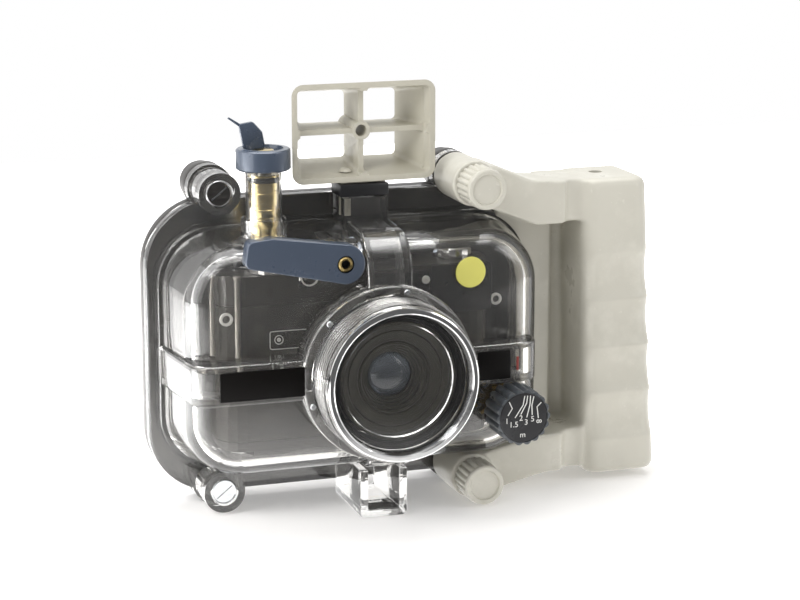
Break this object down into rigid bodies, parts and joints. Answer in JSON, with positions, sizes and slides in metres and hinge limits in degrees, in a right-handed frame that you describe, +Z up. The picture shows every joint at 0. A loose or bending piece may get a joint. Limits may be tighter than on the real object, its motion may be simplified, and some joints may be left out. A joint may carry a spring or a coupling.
{
  "type": "underwater film camera",
  "caption": "Clear pressure housing holding a compact film camera, with round lens port, sports finder frame, side grip, focus knob and control levers.",
  "frame": {"origin": "on the standing plane, under the middle of the foot bracket", "axes": "+Z up, -Y the way the lens looks, +X towards the side grip"},
  "size_m": [0.2103, 0.0831, 0.1696],
  "materials": {
    "clear_shell": "polished clear moulding",
    "dark_cover": "satin dark moulding",
    "seal_rubber": "smooth black rubber",
    "grip_plastic": "fine satin warm grey moulding",
    "blue_paint": "satin blue-grey",
    "brass": "turned and polished",
    "steel": "turned",
    "black_plastic": "satin black",
    "chrome": "bright plated",
    "clear_glass": "polished",
    "camera_black": "satin black",
    "yellow_mark": "printed yellow",
    "red_mark": "printed red"
  },
  "bodies": {
    "housing": {"front_shell": "clear_shell", "port_barrel": "clear_shell", "foot_bracket": "clear_shell", "camera_cradle": "dark_cover", "port_oring": "seal_rubber", "wind_oring": "seal_rubber", "shutter_oring": "seal_rubber", "grip_handle": "grip_plastic", "finder_frame": "grip_plastic", "wind_gland": "brass", "shutter_gland": "brass", "focus_gland": "brass", "shutter_spring": "steel", "focus_idler_pin": "steel", "finder_screw": "steel", "port_liner": "black_plastic", "finder_shoe": "black_plastic", "nameplate_left": "black_plastic", "nameplate_right": "black_plastic", "port_rim": "chrome", "lens_front_ring": "chrome", "camera_bottom_cover": "chrome", "port_glass": "clear_glass", "lens_glass": "clear_glass", "camera_window": "clear_glass", "camera_body": "camera_black", "camera_top_cover": "camera_black", "camera_back_door": "camera_black", "lens_barrel": "camera_black", "yellow_dot": "yellow_mark", "index_mark": "red_mark"},
    "rear_cover": {"rear_cover": "dark_cover", "main_gasket": "seal_rubber", "rear_window": "clear_glass", "rear_window_ring": "black_plastic", "insert_top_left": "brass", "insert_bottom_left": "brass", "insert_top_right": "brass", "insert_bottom_right": "brass"},
    "shutter_lever": {"shutter_lever": "blue_paint", "shutter_lever_screw": "brass", "shutter_shaft": "steel", "shutter_crank": "steel"},
    "camera_shutter_button": {"camera_shutter_button": "chrome"},
    "wind_lever": {"wind_lever": "blue_paint", "wind_lever_screw": "brass", "wind_shaft": "steel", "wind_driver": "black_plastic"},
    "camera_wind_lever": {"camera_wind_lever": "chrome"},
    "focus_knob": {"focus_knob": "black_plastic", "focus_dial": "black_plastic", "focus_shaft": "steel", "focus_pinion": "brass"},
    "focus_idler": {"focus_idler": "brass"},
    "lens_focus_ring": {"lens_focus_ring": "camera_black"},
    "rewind_knob": {"rewind_knob": "chrome"},
    "closing_screw_top_left": {"closing_screw_top_left": "steel"},
    "closing_screw_bottom_left": {"closing_screw_bottom_left": "steel"},
    "grip_knob_top_right": {"grip_knob_top_right": "grip_plastic"},
    "grip_knob_bottom_right": {"grip_knob_bottom_right": "grip_plastic"}
  },
  "joints": [
    {"name": "rear_cover_lift_off", "type": "slide", "parent": "housing", "child": "rear_cover", "axis": [0, 1, 0], "range_m": [0, 0.045]},
    {"name": "shutter_lever_press", "type": "hinge", "parent": "housing", "child": "shutter_lever", "pos_m": [-0.0178, -0.022, 0.1048], "axis": [0, -1, 0], "range_deg": [0, 12], "stiffness_Nm_per_rad": 0.02, "springref_deg": -17.19},
    {"name": "camera_shutter_press", "type": "slide", "parent": "housing", "child": "camera_shutter_button", "axis": [0, 0, -1], "range_m": [0, 0.0021]},
    {"name": "wind_lever_turn", "type": "hinge", "parent": "housing", "child": "wind_lever", "pos_m": [-0.041, 0.007, 0.1418], "axis": [0, 0, 1], "range_deg": [0, 110], "stiffness_Nm_per_rad": 0.01, "springref_deg": -17.19},
    {"name": "camera_wind_lever_turn", "type": "hinge", "parent": "housing", "child": "camera_wind_lever", "pos_m": [-0.041, 0.007, 0.0985], "axis": [0, 0, 1], "range_deg": [0, 110]},
    {"name": "focus_knob_turn", "type": "hinge", "parent": "housing", "child": "focus_knob", "pos_m": [0.0526, -0.025, 0.04007], "axis": [0, -1, 0], "range_deg": [-55, 55]},
    {"name": "focus_idler_turn", "type": "hinge", "parent": "housing", "child": "focus_idler", "pos_m": [0.03577, -0.004, 0.04645], "axis": [0, -1, 0], "range_deg": [-47, 47]},
    {"name": "lens_focus_ring_turn", "type": "hinge", "parent": "housing", "child": "lens_focus_ring", "pos_m": [0, -0.004, 0.06], "axis": [0, -1, 0], "range_deg": [-16, 16]},
    {"name": "rewind_knob_turn", "type": "hinge", "parent": "housing", "child": "rewind_knob", "pos_m": [0.038, 0.012, 0.099], "axis": [0, 0, 1], "continuous": true},
    {"name": "closing_screw_top_left_turn", "type": "hinge", "parent": "housing", "child": "closing_screw_top_left", "pos_m": [-0.059, 0.015, 0.129], "axis": [0, -1, 0], "continuous": true},
    {"name": "closing_screw_bottom_left_turn", "type": "hinge", "parent": "housing", "child": "closing_screw_bottom_left", "pos_m": [-0.059, 0.015, 0.0092], "axis": [0, -1, 0], "continuous": true},
    {"name": "grip_knob_top_right_turn", "type": "hinge", "parent": "housing", "child": "grip_knob_top_right", "pos_m": [0.042, -0.005, 0.129], "axis": [0, -1, 0], "continuous": true},
    {"name": "grip_knob_bottom_right_turn", "type": "hinge", "parent": "housing", "child": "grip_knob_bottom_right", "pos_m": [0.042, -0.005, 0.0092], "axis": [0, -1, 0], "continuous": true}
  ],
  "couplings": [
    {"joint": "camera_shutter_press", "follows": "shutter_lever_press", "m_per_rad": 0.01},
    {"joint": "camera_wind_lever_turn", "follows": "wind_lever_turn", "ratio": 1},
    {"joint": "focus_idler_turn", "follows": "focus_knob_turn", "ratio": -0.84615},
    {"joint": "lens_focus_ring_turn", "follows": "focus_knob_turn", "ratio": 0.28947}
  ]
}
